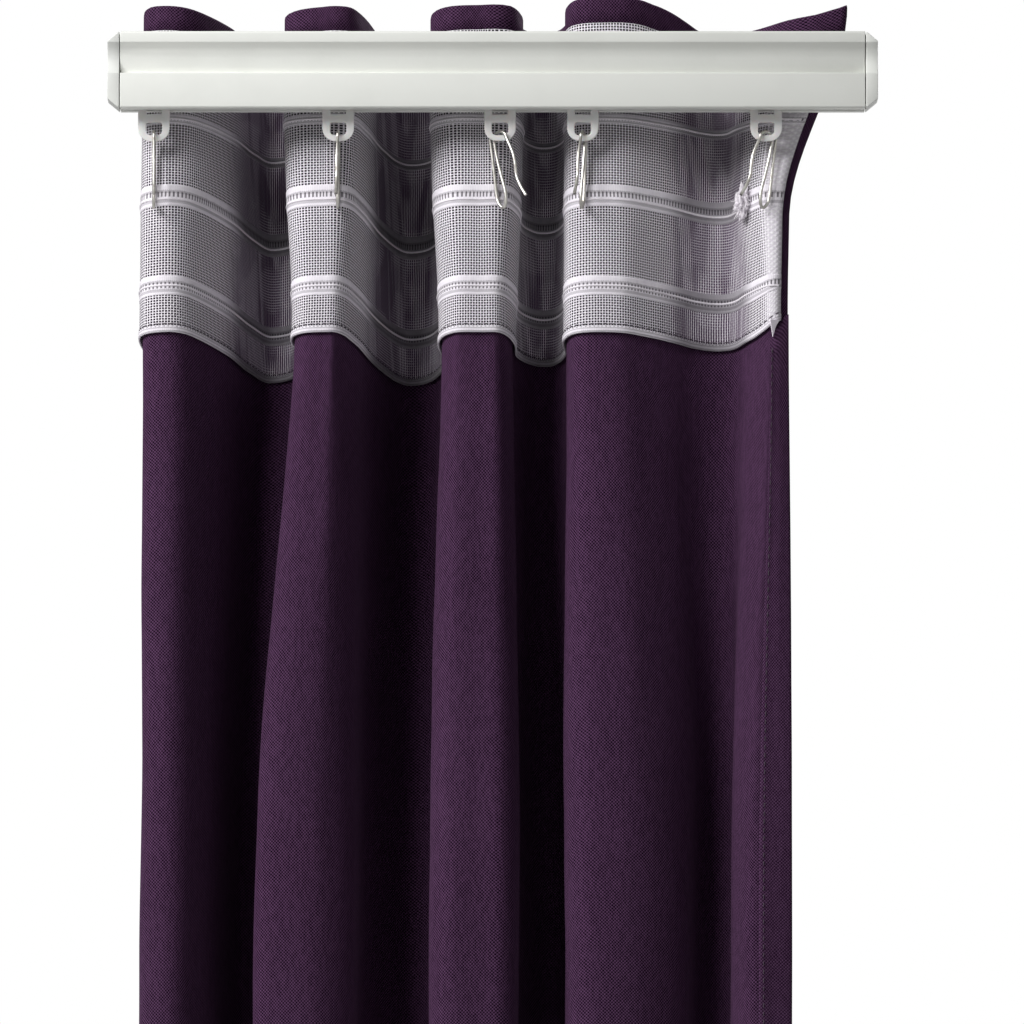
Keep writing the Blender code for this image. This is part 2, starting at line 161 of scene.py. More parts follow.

# %% [markdown]
# ## Floor
# The floor is a plain pale plane a little below the hem. It belongs to the
# studio, not to the curtain.

# %% Floor
HEM_Z = cad_box[0][2]
floor_mesh = bpy.data.meshes.new("floor")
floor_bm = bmesh.new()
bmesh.ops.create_grid(floor_bm, x_segments=1, y_segments=1, size=4)
bmesh.ops.translate(floor_bm, verts=floor_bm.verts, vec=(0, 0, HEM_Z - 0.02))
floor_bm.to_mesh(floor_mesh)
floor_bm.free()
floor = bpy.data.objects.new("floor", floor_mesh)
bpy.context.scene.collection.objects.link(floor)
print("floor at", round(HEM_Z - 0.02, 3))

# %% [markdown]
# ## Shader sums
# Weave, net and grain are sums of waves and noise. Writing them with node calls
# hides the sum, so a small class wraps a node's output and turns Python's
# operators into Math nodes. Any other node comes from its one method, `add`.

# %% Shader helper


class Wire:
    """A node's output that can be used in ordinary sums."""

    def __init__(self, tree, socket=None):
        self.tree = tree
        self.socket = socket

    def add(self, kind, settings=None, sockets=None, output=0):
        node = self.tree.nodes.new(kind)
        settings = dict(settings or {})
        stops = settings.pop("stops", None)
        for name, value in settings.items():
            setattr(node, name, value)
        if stops:
            ramp = node.color_ramp.elements
            while len(ramp) < len(stops):
                ramp.new(0.5)
            for element, (position, colour) in zip(ramp, stops):
                element.position, element.color = position, (*colour, 1)
        for name, value in (sockets or {}).items():
            if isinstance(value, Wire):
                self.tree.links.new(value.socket, node.inputs[name])
            else:
                node.inputs[name].default_value = value
        return Wire(self.tree, node.outputs[output])

    def maths(self, operation, *others):
        return self.add("ShaderNodeMath", {"operation": operation}, dict(enumerate((self, *others))))

    def __add__(self, other):
        return self.maths("ADD", other)

    def __mul__(self, other):
        return self.maths("MULTIPLY", other)

    def __sub__(self, other):
        return self.maths("SUBTRACT", other)

    def __rsub__(self, other):
        return self * -1 + other

    __radd__ = __add__
    __rmul__ = __mul__

    def wave(self):
        """1 at whole numbers, 0 half way between them."""
        return (self * math.tau).maths("COSINE") * 0.5 + 0.5

    def step(self, low, high):
        """0 below low, 1 above high, smooth between."""
        settings = {"interpolation_type": "SMOOTHSTEP"}
        sockets = {"Value": self, "From Min": low, "From Max": high}
        return self.add("ShaderNodeMapRange", settings, sockets)

    def paint(self, low, high):
        """A colour between low at 0 and high at 1."""
        settings = {"data_type": "RGBA"}
        sockets = {0: self, 6: _rgba(low), 7: _rgba(high)}
        return self.add("ShaderNodeMix", settings, sockets, output=2)


def _rgba(colour):
    return colour if isinstance(colour, Wire) else (*colour, 1)


def new_material(name, **constants):
    """A material, its Principled shader and a Wire to start its nodes from."""
    material = bpy.data.materials.new(name)
    material.use_nodes = True
    shader = material.node_tree.nodes["Principled BSDF"]
    for socket, value in constants.items():
        shader.inputs[socket.replace("_", " ")].default_value = value
    return material, shader, Wire(material.node_tree)


def connect(wire, shader, socket):
    wire.tree.links.new(wire.socket, shader.inputs[socket])


def bump(height, shader, distance, strength=1.0):
    sockets = {"Height": height, "Distance": distance, "Strength": strength}
    connect(height.add("ShaderNodeBump", {}, sockets), shader, "Normal")


def object_place(start):
    return start.add("ShaderNodeTexCoord", {}, {}, output=3)


def surface_place(start):
    """Metres along the weft and metres up the warp, from the piece's UV map."""
    uv = start.add("ShaderNodeUVMap", {"uv_map": "weave"})
    parts = {"Vector": uv}
    return start.add("ShaderNodeSeparateXYZ", {}, parts, 0), start.add(
        "ShaderNodeSeparateXYZ", {}, parts, 1
    )


def clouds(start, scale, detail=3.0, vector=None):
    sockets = {"Scale": scale, "Detail": detail, "Vector": vector or object_place(start)}
    return start.add("ShaderNodeTexNoise", {}, sockets)


# %% [markdown]
# ## Track and cap finish
# The track is drawn from metal and coated with matt off-white paint. It isn't
# perfectly even: the coat has a faint orange-peel ripple and a little dust
# grey. The moulded caps are a touch smoother and cooler.

# %% Paint and plastic


def coated(name, colour, dusty, roughness, ripple_scale, ripple):
    material, shader, start = new_material(name, Specular_IOR_Level=0.35)
    dust = clouds(start, 42, 5).step(0.42, 0.75)
    connect((dust * 0.6).paint(colour, dusty), shader, "Base Color")
    connect(clouds(start, 300, 2) * 0.18 + (roughness - 0.09), shader, "Roughness")
    bump(clouds(start, ripple_scale, 2), shader, ripple, 0.5)
    return material


rail_paint = coated("rail_paint", (0.80, 0.81, 0.77), (0.74, 0.75, 0.71), 0.5, 900, 0.00005)
cap_plastic = coated("cap_plastic", (0.79, 0.80, 0.77), (0.72, 0.73, 0.69), 0.42, 500, 0.00004)
glider_plastic = coated("glider_plastic", (0.82, 0.81, 0.80), (0.74, 0.72, 0.70), 0.34, 700, 0.00004)
glider_plastic.node_tree.nodes["Principled BSDF"].inputs["Subsurface Weight"].default_value = 0.15
glider_plastic.node_tree.nodes["Principled BSDF"].inputs["Subsurface Scale"].default_value = 0.001
print("finishes: paint and plastic")

# %% [markdown]
# ## Rail, caps and gliders
# Their CAD shapes are right but every corner is knife sharp. A copy of each mesh
# is merged, its flat triangles are dissolved back into faces, and its edges get
# the small round that extruding or moulding leaves. The round catches the light,
# which is what makes such parts look real.

# %% Round off the CAD pieces


def finished_copy(node, suffix, width, segments, material, smooth_below=38, reshape=None):
    source = frame["nodes"][node]
    bm = bmesh.new()
    bm.from_mesh(source.data)
    bmesh.ops.remove_doubles(bm, verts=bm.verts, dist=1e-5)
    flat = math.radians(3)
    bmesh.ops.dissolve_limit(bm, angle_limit=flat, verts=bm.verts, edges=bm.edges)
    if reshape:
        reshape(bm)
    sharp = [edge for edge in bm.edges if edge.calc_face_angle(0) > math.radians(smooth_below)]
    bmesh.ops.bevel(
        bm, geom=sharp, offset=width, offset_type="OFFSET", segments=segments,
        profile=0.5, affect="EDGES", clamp_overlap=True, material=-1,
    )
    mesh = bpy.data.meshes.new(node + suffix)
    bm.to_mesh(mesh)
    bm.free()
    mesh.shade_smooth()
    mesh.set_sharp_from_angle(angle=math.radians(smooth_below))
    mesh.materials.append(material)
    piece = bpy.data.objects.new(node + suffix, mesh)
    bpy.context.scene.collection.objects.link(piece)
    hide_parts(node)
    return piece


FACE_Y = RAIL_LOW[1]
GROOVE_DEPTH, GROOVE_MIDDLE, GROOVE_LOW = 0.0026, RAIL_HIGH[2] - 0.0096, RAIL_HIGH[2] - 0.0152
GROOVE_FALL = 0.0013


def undercut_groove(bm):
    """Below its middle the groove falls away behind the lower face, as a drawn track's does."""
    moved = 0
    for vert in bm.verts:
        below = (GROOVE_MIDDLE - vert.co.z) / (GROOVE_MIDDLE - GROOVE_LOW)
        inside = 1e-4 < vert.co.y - FACE_Y < GROOVE_DEPTH + 1e-4
        if inside and 0.1 < below < 0.95:
            vert.co.y = FACE_Y + GROOVE_DEPTH + GROOVE_FALL * below**2
            moved += 1
            if below > 0.6:
                vert.co.z = GROOVE_LOW + 0.0003
    print("groove undercut at", moved, "points")


def body_with(node):
    bodies = frame["record"]["behaviour"]["bodies"]
    return next(body for body, nodes in bodies.items() if node in nodes)


for node, width, material, slot in (
    ("track_rail", 0.00022, rail_paint, "rail"),
    ("end_cap_left", 0.0003, cap_plastic, "cap"),
    ("end_cap_right", 0.0003, cap_plastic, "cap"),
    *((f"glider_{k}", 0.00042, glider_plastic, "glider") for k in range(1, 6)),
):
    reshape = undercut_groove if node == "track_rail" else None
    piece = finished_copy(node, "_finished", width, 3, material, reshape=reshape)
    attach(piece, body_with(node))
    print(piece.name, len(piece.data.polygons), "faces")

# %% [markdown]
# ## Hooks
# Each hook is one bent wire. Its short pin goes down through the tape and turns
# up again in a hairpin that holds the tape. The wire then arches over the sill
# of the glider's eye and ends in a long springy leg with a flared tip. The five
# hooks are the same and only turn differently in their eyes. The route has few
# points and a smooth curve reads between them.

# %% Smooth curves


def smooth(points, t):
    """A Catmull-Rom curve through points, read at t, counted in points."""
    last = len(points) - 1
    i = min(int(t), last - 1)
    f = t - i
    before, after = points[max(i - 1, 0)], points[min(i + 2, last)]
    found = []
    for a, b, c, d in zip(before, points[i], points[i + 1], after):
        bend = (2 * a - 5 * b + 4 * c - d) * f**2 + (3 * (b - c) + d - a) * f**3
        found.append(b + 0.5 * ((c - a) * f + bend))
    return found


def along(stations, at):
    """The value at a place along (place, value) stations, smooth from one to the next."""
    for i in range(len(stations) - 1):
        start, end = stations[i][0], stations[i + 1][0]
        part = (at - start) / (end - start)
        if part < 1:
            return smooth(stations, i + max(part, 0))[1]
    return stations[-1][1]


def ease(value, start, end):
    """0 before start, 1 past end, with a smooth step between them."""
    part = min(max((value - start) / (end - start), 0), 1)
    return part * part * (3 - 2 * part)


def tube(name, points, diameter, material, sides=3):
    return tubes(name, [points], diameter, material, sides)


def tubes(name, runs, diameter, material, sides):
    """Round wires or fibres through runs of points, bevelled as a curve and kept as a mesh."""
    curve = bpy.data.curves.new(name, "CURVE")
    curve.dimensions = "3D"
    curve.bevel_depth = diameter / 2
    curve.bevel_resolution = sides
    curve.use_fill_caps = True
    for run in runs:
        spline = curve.splines.new("POLY")
        spline.points.add(len(run) - 1)
        for point, place in zip(spline.points, run):
            point.co = (*place, 1)
    curve.materials.append(material)
    drawn = bpy.data.objects.new(name, curve)
    mesh = bpy.data.meshes.new_from_object(drawn)
    mesh.name = name
    mesh.shade_smooth()
    bpy.data.objects.remove(drawn)
    piece = bpy.data.objects.new(name, mesh)
    bpy.context.scene.collection.objects.link(piece)
    return piece


# %% Hook finish
galvanised, wire_shader, wire_start = new_material("galvanised_wire", Metallic=1.0)
spangle = clouds(wire_start, 500, 3).step(0.35, 0.7)
connect(spangle.paint((0.52, 0.50, 0.46), (0.66, 0.65, 0.61)), wire_shader, "Base Color")
connect(spangle * 0.10 + 0.30, wire_shader, "Roughness")
bump(clouds(wire_start, 300, 1), wire_shader, 0.000005, 0.2)

# %% Bend the hooks
WIRE = 0.0012
HOOK_HALF, HOOK_TOP, HOOK_LOW = 0.0032, 0.0024, -0.0252
HOOK_TWIST = (2, -3, 45, -14, -45)
SILL_HEIGHT = 0.0021


def hook_route():
    """Across the hook and up from the sill: pin, hairpin, arch and spring leg."""
    half, low = HOOK_HALF, HOOK_LOW
    pin = [(-1.6 * half, 0), (-half, 0.45 * low), (-0.47 * half, 0.86 * low)]
    bend = [(0.1 * half, 0.975 * low), (0.6 * half, low), (0.92 * half, 0.93 * low)]
    rise = [(0.85 * half, 0.78 * low), (0.3 * half, 0.58 * low), (-0.5 * half, 0.28 * low)]
    arch = []
    for degrees in (180, 150, 120, 90, 60, 30, 0):
        angle = math.radians(degrees)
        arch.append((half * math.cos(angle), HOOK_TOP * math.sin(angle)))
    leg = [(2.0 * half, 0.22 * low), (2.4 * half, 0.4 * low)]
    leg += [(2.6 * half, 0.56 * low), (3.3 * half, 0.72 * low), (4.1 * half, 0.85 * low)]
    return pin + bend + rise + arch + leg


SAMPLES_PER_BEND = 7
for k, twist in enumerate(HOOK_TWIST, 1):
    low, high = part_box(f"glider_{k}")
    middle = (low[0] + high[0]) / 2
    sill = low[2] + SILL_HEIGHT / 2
    turn = math.radians(twist)
    route = hook_route()
    points = []
    for step in range(SAMPLES_PER_BEND * (len(route) - 1) + 1):
        across, up = smooth(route, step / SAMPLES_PER_BEND)
        points.append((middle + across * math.sin(turn), -across * math.cos(turn), sill + up))
    hook = tube(f"hook_{k}_wire", points, WIRE, galvanised, sides=4)
    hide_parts(f"hook_{k}")
    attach(hook, f"section_{k}")

# %% [markdown]
# ## The folds
# The cloth is one sheet. A plan of its folds is read at every height: each point
# holds x and depth behind the front of the folds, at the heading and again in
# the free cloth, and the plan slides from one to the other. The heading leans
# back behind the track, the hooks pull it forward below, and the deep valleys
# sag, because nothing holds them up. Tape, hems, cords and stitches all read
# the same surface at their own small offset, so they lie on the cloth.

# %% Plan of the folds, in millimetres
PLAN = [
    # first fold, from the left edge, which is turned back
    (-113.2, 42, -115.4, 42), (-123.3, 26, -124.7, 26), (-125.8, 7, -125.8, 7),
    (-121.0, 0.4, -121.0, 0.4), (-110.7, 2.5, -110.7, 2.5), (-97.4, 24, -101.3, 24),
    (-89.1, 46, -96.3, 46), (-81.9, 58, -90.9, 56),
    # second fold
    (-70.7, 52, -83.0, 50), (-67.9, 31, -80.1, 30), (-72.5, 10, -85.1, 10),
    (-69.3, 2, -82.3, 2.5), (-61.4, 0, -72.2, 0), (-54.5, 1, -60.3, 3),
    (-49.1, 14, -51.0, 14), (-41.9, 42, -47.2, 38), (-33.3, 60, -33.6, 56),
    # third fold
    (-21.8, 57, -23.2, 54), (-16.4, 38, -17.8, 36), (-19.6, 12, -22.1, 12),
    (-14.6, 1, -16.7, 1), (-4.5, 0, -4.5, 0), (3.8, 1, 4.6, 2), (8.1, 14, 8.8, 14),
    (8.5, 28, 8.6, 36), (15.0, 38, 17.8, 50),
    # fourth fold
    (23.5, 37, 26.5, 48), (27.9, 26, 29.3, 32), (27.4, 10, 26.1, 12), (32.2, 1, 32.2, 1),
    (45.9, 0.5, 47.7, 0.5), (56.7, 6, 60.3, 7), (65.5, 12, 69.5, 18), (73.0, 18, 74.0, 32),
    (80.5, 21, 80.5, 38),
    # last fold, up to the right edge
    (87.5, 19, 87.0, 33), (92.5, 10, 85.5, 16), (98.8, 0.8, 91.5, 0.8),
    (102.8, 0.4, 100.6, 0.4), (107.1, 2, 107.1, 2),
]
LAST = len(PLAN) - 1
LAST_VALLEY = 34
DEEPEST = 0.06

# %% Heights
TOP = cad_box[1][2]
TRACK_UNDERSIDE = RAIL_LOW[2]
TAPE_TOP, TAPE_BOTTOM = TOP - 0.0090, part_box("heading_tape_2")[0][2] + 0.0081
CAD_TAPE_BOTTOM = TOP - 0.118
SETTLE_FROM, SETTLE_TO = -0.075, -0.33
FRONT_LINE = (
    (TOP, 0.0194), (TRACK_UNDERSIDE, 0.0111), (-0.06195, 0.00324), (CAD_TAPE_BOTTOM, -0.00296),
    (-0.200, -0.01296), (-0.330, -0.02296), (-0.700, -0.03076), (HEM_Z, -0.03076),
)
print("tape from", round(TAPE_TOP, 4), "to", round(TAPE_BOTTOM, 4))

# %% The surface that everything lies on
VALLEY_SAG = 0.0139
CORNER_FLARE, FLARE_FROM = 0.0205, -0.066


@functools.lru_cache(maxsize=None)
def plan_at(t):
    t = min(max(t, 0), LAST)
    run = Vector(smooth(PLAN, min(t + 0.05, LAST))) - Vector(smooth(PLAN, max(t - 0.05, 0)))
    return Vector(smooth(PLAN, t)) / 1000, run, along(WIDENS, t)


@functools.lru_cache(maxsize=None)
def level(z):
    sags = (1 - ease(z, CAD_TAPE_BOTTOM, -0.7)) * (1 - 0.3 * ease(z, -0.075, -0.015))
    return along(FRONT_LINE, z), ease(z, SETTLE_FROM, SETTLE_TO), sags, along(FOLD_WIDTH, z)


def surface(t, z, offset=0.0):
    """A point of the cloth: t along the folds, z its height, offset to the window side."""
    place, run, widens = plan_at(t)
    front, settled, sags, widen = level(z)
    x = place[0] + (place[2] - place[0]) * settled
    depth = place[1] + (place[3] - place[1]) * settled
    across = Vector((run[0] + (run[2] - run[0]) * settled, run[1] + (run[3] - run[1]) * settled))
    across.normalize()
    near = 1 - min(depth / DEEPEST, 1)
    corner = ease(t, LAST_VALLEY + 1, LAST)
    x += corner * CORNER_FLARE * ease(z, FLARE_FROM, TOP)
    x += across.y * widen * widens * near
    free = ease(z, CAD_TAPE_BOTTOM + 0.01, -0.3)
    ripple = WRINKLE * free * noise.noise(Vector((t * 0.55, z * 9, 4.2)))
    ripple += FINE_WRINKLE * noise.noise(Vector((t * 1.9, z * 30, 9.1)))
    sway = SWAY * ease(z, -0.36, -0.9) * noise.noise(Vector((t * 0.16, z * 2.1, 1.7)))
    lift = offset + ripple
    lifted = z + top_edge(t) * ease(z, TRACK_UNDERSIDE - 0.004, TOP) - VALLEY_SAG * sags * depth / DEEPEST
    return Vector((x + sway + lift * across.y, front + depth - lift * across.x, lifted))


FOLD_WIDTH = (
    (0.012, 0.0022), (-0.030, 0.0018), (-0.060, 0.0004), (-0.100, -0.0019), (-0.160, -0.0012),
    (-0.260, 0.0), (-0.5, 0.0),
)
WRINKLE, FINE_WRINKLE, SWAY = 0.0014, 0.00022, 0.006
TOP_EDGE = (
    (0, -0.0014), (3, -0.0002), (8, -0.0034), (12.5, -0.0004), (17, -0.0012), (21.5, 0.0002),
    (25, 0.0001), (29.5, 0.0028), (31, 0.0020), (34, -0.0064), (36.3, -0.0066), (37.6, -0.0036),
    (39, 0.0006),
)
WIDENS = ((0, 0), (3.2, 0), (5, 1), (24, 1), (26, 0), (29, 0), (31, 1))


@functools.lru_cache(maxsize=None)
def top_edge(t):
    """How much higher than the CAD's straight edge the top runs, fold by fold."""
    return along(TOP_EDGE, t)


# %% [markdown]
# ## Sheets
# A sheet starts as a flat grid from `create_grid`. Every vertex is then read as
# a column and a row and moved to its place on the surface. Columns are spaced
# evenly along the cloth, not along the plan, so the faces stay square and the
# weave keeps its pitch round every bend. The UV map is in metres of cloth.

# %% Grid of cloth


def lengths_along(z, samples=1600):
    """Cloth length up to each t, at one height."""
    run, places = 0.0, []
    before = surface(0, z)
    for step in range(samples + 1):
        t = LAST * step / samples
        here = surface(t, z)
        run += (here - before).xy.length
        places.append((run, t))
        before = here
    return places


HEADING_LENGTHS = lengths_along(-0.07)
FREE_LENGTHS = lengths_along(-0.6)
CLOTH_WIDTH = FREE_LENGTHS[-1][0]
print("cloth width", round(CLOTH_WIDTH, 3), "tape length", round(HEADING_LENGTHS[-1][0], 3))


def even_columns(places, start, end, step):
    """(cloth length, t) pairs, one every step between two lengths of the cloth."""
    count = max(round((end - start) / step), 1)
    found, i = [], 0
    for column in range(count + 1):
        wanted = start + (end - start) * column / count
        while i < len(places) - 2 and places[i + 1][0] < wanted:
            i += 1
        (a, ta), (b, tb) = places[i], places[i + 1]
        found.append((wanted, ta + (tb - ta) * (wanted - a) / max(b - a, 1e-9)))
    return found


def cloth_grid(name, columns, rows, thickness, material, mapped=0.0, shift=None):
    """A sheet from (length, t) columns and (height, offset) rows, run from the top."""
    bm = bmesh.new()
    wide, tall = len(columns) - 1, len(rows) - 1
    bmesh.ops.create_grid(bm, x_segments=wide, y_segments=tall, size=0.5)
    uv = bm.loops.layers.uv.new("weave")
    loose = bm.verts.layers.float.new("loose")
    doubled = bm.verts.layers.float.new("doubled")
    drops = [0.0]
    for (z_a, offset_a), (z_b, offset_b) in zip(rows, rows[1:]):
        drops.append(drops[-1] + math.hypot(z_b - z_a, offset_b - offset_a))
    for face in bm.faces:
        for loop in face.loops:
            column = round((loop.vert.co.x + 0.5) * wide)
            row = round((loop.vert.co.y + 0.5) * tall)
            loop[uv].uv = (columns[column][0], mapped - drops[row])
    for vert in bm.verts:
        _, t = columns[round((vert.co.x + 0.5) * wide)]
        z, offset = rows[round((vert.co.y + 0.5) * tall)]
        vert[loose] = loose_at(t)
        vert[doubled] = ease(t, 36.6, 37.4)
        vert.co = surface(t, z + (shift(t, z) if shift else 0), offset)
    bmesh.ops.reverse_faces(bm, faces=bm.faces)
    mesh = bpy.data.meshes.new(name)
    bm.to_mesh(mesh)
    bm.free()
    mesh.shade_smooth()
    mesh.materials.append(material)
    piece = bpy.data.objects.new(name, mesh)
    bpy.context.scene.collection.objects.link(piece)
    if thickness:
        solid = piece.modifiers.new("thickness", "SOLIDIFY")
        solid.thickness = thickness
        solid.offset = 0
    return piece


def loose_at(t):
    """How far the net's weft has opened: 1 in the deep valleys, 0 on the folds."""
    place, _, _ = plan_at(t)
    opened = ease(place[1], 0.019, 0.040)
    last = ease(t, 31.2, 32.6) * (1 - ease(t, 35.6, 36.4))
    return max(opened, 0.85 * last)


def spread(piece, slot, *nodes):
    """Hides the CAD nodes that the piece replaces and bakes its placement into its mesh."""
    if nodes:
        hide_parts(*nodes)
    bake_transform(piece)


# %% [markdown]
# ## Curtain cloth
# A dark plum cloth in plain weave. Warp and weft change places at every crossing,
# so the pattern is the product of two waves, one for each direction, pushed about
# a little by noise because real yarn is uneven. The same product lifts the surface
# through a Bump node. The sheet runs over the top edge and a short way down the
# window side, under the tape.

# %% Cloth finish
YARN_PITCH = 0.0006


def plain_weave(name, dark, light, glow):
    material, shader, start = new_material(
        name, Specular_IOR_Level=0.03, Sheen_Weight=0.1, Sheen_Roughness=0.4,
        Sheen_Tint=(*glow, 1),
    )
    weft, warp = surface_place(start)
    uneven = clouds(start, 120, 2) * 0.9
    across = (weft * (0.5 / YARN_PITCH) + uneven).wave() * 2 - 1
    upright = (warp * (0.5 / YARN_PITCH) + uneven * 0.6).wave() * 2 - 1
    crossing = across * upright * 0.5 + 0.5
    slub = clouds(start, 900, 1, stretched(start, 0.3))
    worn = clouds(start, 30, 3).step(0.3, 0.75)
    tone = crossing.step(0.32, 0.70) * 0.82 + slub.step(0.35, 0.65) * 0.13 + worn * 0.05
    connect(tone.paint(dark, light), shader, "Base Color")
    connect(crossing * -0.1 + 0.92, shader, "Roughness")
    bump(crossing, shader, 0.0002, 0.8)
    return material


def stretched(start, share):
    """Object coordinates squeezed upright, which draws noise out along the warp."""
    sockets = {"Vector": object_place(start), "Scale": (1, 1, share)}
    return start.add("ShaderNodeMapping", {"vector_type": "POINT"}, sockets)


GLOW = (0.7, 0.4, 0.7)
plum = plain_weave("plum_cloth", (0.003, 0.0005, 0.004), (0.112, 0.050, 0.115), GLOW)

# %% The curtain sheet
COLUMN_STEP = 0.0024
LAYER = 0.00055
FRONT = 0.00085


def rows_between(high, low, step, offset=0.0):
    count = max(round((high - low) / step), 1)
    return [(high + (low - high) * row / count, offset) for row in range(count + 1)]


turned = [(TOP - 0.0095, FRONT), (TOP - 0.004, FRONT), (TOP - 0.0011, FRONT * 0.97)]
turned += [(TOP - 0.0003, FRONT * 0.8), (TOP, FRONT * 0.42)]
cloth_rows = turned + [(TOP - 0.0004, 0.0)]
cloth_rows += rows_between(TOP - 0.003, -0.36, 0.0062)
cloth_rows += rows_between(-0.37, HEM_Z + 0.004, 0.0135)
cloth_columns = even_columns(FREE_LENGTHS, 0, CLOTH_WIDTH, COLUMN_STEP)
curtain = cloth_grid("curtain_cloth", cloth_columns, cloth_rows, LAYER, plum)
spread(curtain, "cloth", *(f"curtain_fold_{k}" for k in range(1, 6)))
print("curtain", len(curtain.data.polygons), "faces")

# %% [markdown]
# ## Hems
# The side and bottom edges are turned to the window side; the right side and the
# bottom are stitched down. Each hem is a strip of the same cloth just in front of
# the sheet, and the bottom one wraps the edge that it binds.

# %% Hem strips
SIDE_HEM = 0.012
BOTTOM_HEM = 0.04
HEM_UNDER_TAPE = TAPE_BOTTOM - 0.004
plum_hem = plain_weave("plum_hem", (0.018, 0.005, 0.019), (0.110, 0.052, 0.114), GLOW)

bottom_rows = rows_between(HEM_Z + BOTTOM_HEM, HEM_Z + 0.0016, 0.006, FRONT)
bottom_rows += [(HEM_Z + 0.0004, FRONT * 0.6), (HEM_Z + 0.0004, 0.0), (HEM_Z + 0.0045, -0.0006)]
bottom = cloth_grid("bottom_hem_turned", cloth_columns, bottom_rows, LAYER, plum_hem)
spread(bottom, "cloth", *(f"bottom_hem_{k}" for k in range(1, 6)))

def hem_corner(t, z):
    """The hem's top corner is turned in, so that its end slants down from the edge."""
    return 0.011 * (ease(t, LAST - 2, LAST) + 1 - ease(t, 0, 2)) * ease(z, -0.14, HEM_UNDER_TAPE)


for side, start, end in (
    ("left", 0.0, SIDE_HEM),
    ("right", CLOTH_WIDTH - SIDE_HEM, CLOTH_WIDTH),
):
    columns = even_columns(FREE_LENGTHS, start, end, 0.0012)
    rows = rows_between(HEM_UNDER_TAPE, HEM_Z + BOTTOM_HEM + 0.0005, 0.008, FRONT)
    hem = cloth_grid(f"side_hem_{side}_turned", columns, rows, LAYER, plum_hem, shift=hem_corner)
    spread(hem, "cloth", f"side_hem_{side}")
print("hems made")

# %% [markdown]
# ## Net heading tape
# The tape is an open net of white thread in plain weave, so dark cloth shows
# through its holes. The holes are painted with that cloth's colour in painted
# shade, and painted lighter where the net is loose, as light reaching the cloth
# behind the opened net. In the valleys the weft has slipped apart and leaves bare
# upright threads. Both are one pattern: an upright wave and a level wave, where
# the level one fades by the attribute "loose", which says how far the net has
# opened, and each thread has a painted highlight where it passes over the other
# and painted shade where it dips under. The right end of the tape is turned
# under, so "doubled" closes its holes there.

# %% Net finish
NET_PITCH = 0.00098
# The thread colour runs from the darker one, painted shade where a thread dips under its neighbour, to the white
# one, its painted highlight where it passes over; the yarn's own unevenness also moves it between the two.
THREAD_WHITE, THREAD_SHADE = (0.97, 0.95, 0.98), (0.72, 0.66, 0.75)
# The hole colours are the plum cloth behind the net: the first in painted shade on the folds, the second painted
# lighter, as if lit through the net where it is loose.
HOLE_IN_PAINTED_SHADE, VALLEY_HOLE_PAINTED_LIGHTER = (0.010, 0.004, 0.012), (0.078, 0.040, 0.088)


def net(name):
    material, shader, start = new_material(name, Specular_IOR_Level=0.1, Sheen_Weight=0.1)
    weft, warp = surface_place(start)
    loose = start.add("ShaderNodeAttribute", {"attribute_name": "loose"}, {}, output=2)
    drift = (clouds(start, 60, 2) - 0.5) * 1.1
    u = weft * (1 / NET_PITCH) + drift * (loose * 0.8 + 0.12)
    v = warp * (1 / NET_PITCH) + drift * 0.5
    over = ((u * 0.5).wave() * 2 - 1) * ((v * 0.5).wave() * 2 - 1)
    missing = clouds(start, 190, 1, stretched(start, 0.03)).step(0.42, 0.56)
    patch = clouds(start, 55, 3).step(0.44, 0.56)
    upright = u.wave().step(0.60, 0.82)
    bare = u.wave().step(0.62, 0.90) * (missing * 0.7 + 0.3)
    weft_left = 1 - loose * (1 - patch * 0.5)
    warp_mask = upright * (1 - loose) + bare * loose
    weft_mask = v.wave().step(0.62, 0.84) * weft_left
    doubled = start.add("ShaderNodeAttribute", {"attribute_name": "doubled"}, {}, output=2)
    mask = warp_mask.maths("MAXIMUM", weft_mask).maths("MAXIMUM", doubled * 0.9)
    slub = clouds(start, 330, 2)
    # The over-under wave paints each thread lighter where it passes over the other and darker, as painted shade,
    # where it dips under; slub is the yarn's own unevenness.
    thread = (over * 0.35 + slub * 0.4 + 0.35).paint(THREAD_SHADE, THREAD_WHITE)
    # Holes show the cloth behind in painted shade, painted lighter where the net is loose.
    connect(mask.paint(loose.paint(HOLE_IN_PAINTED_SHADE, VALLEY_HOLE_PAINTED_LIGHTER), thread), shader, "Base Color")
    connect(mask * -0.1 + 0.9, shader, "Roughness")
    bump(mask * (over * 0.2 + 0.8), shader, 0.0003, 0.9)
    return material


def tape_corner(t, z):
    """The tape's last corner is drawn up a little where its end is turned in."""
    return 0.0046 * ease(t, 36.2, 38.4) * ease(z, -0.080, TAPE_BOTTOM)


net_tape = net("net_tape")
TAPE_FRONT = FRONT + 0.0005
TAPE_LAYER = 0.00035
TAPE_END_MARGIN = 0.0032
tape_length = HEADING_LENGTHS[-1][0]
tape_columns = even_columns(HEADING_LENGTHS, 0.001, tape_length - TAPE_END_MARGIN, 0.0022)
tape_rows = rows_between(TAPE_TOP, TAPE_BOTTOM, 0.004, TAPE_FRONT)
tape = cloth_grid("heading_tape_net", tape_columns, tape_rows, TAPE_LAYER, net_tape,
                  shift=tape_corner)
spread(tape, "tape", *(f"heading_tape_{k}" for k in range(1, 6)))
print("tape", len(tape.data.polygons), "faces")

# %% [markdown]
# ## Woven bands
# Three bands run along the tape. Each is two tight lines with a ladder of
# pockets between them, raised a little above the net, and the draw cord runs
# inside. A fourth, solid line binds the bottom edge. They are real strips, so
# they catch the light along the curve of every fold.

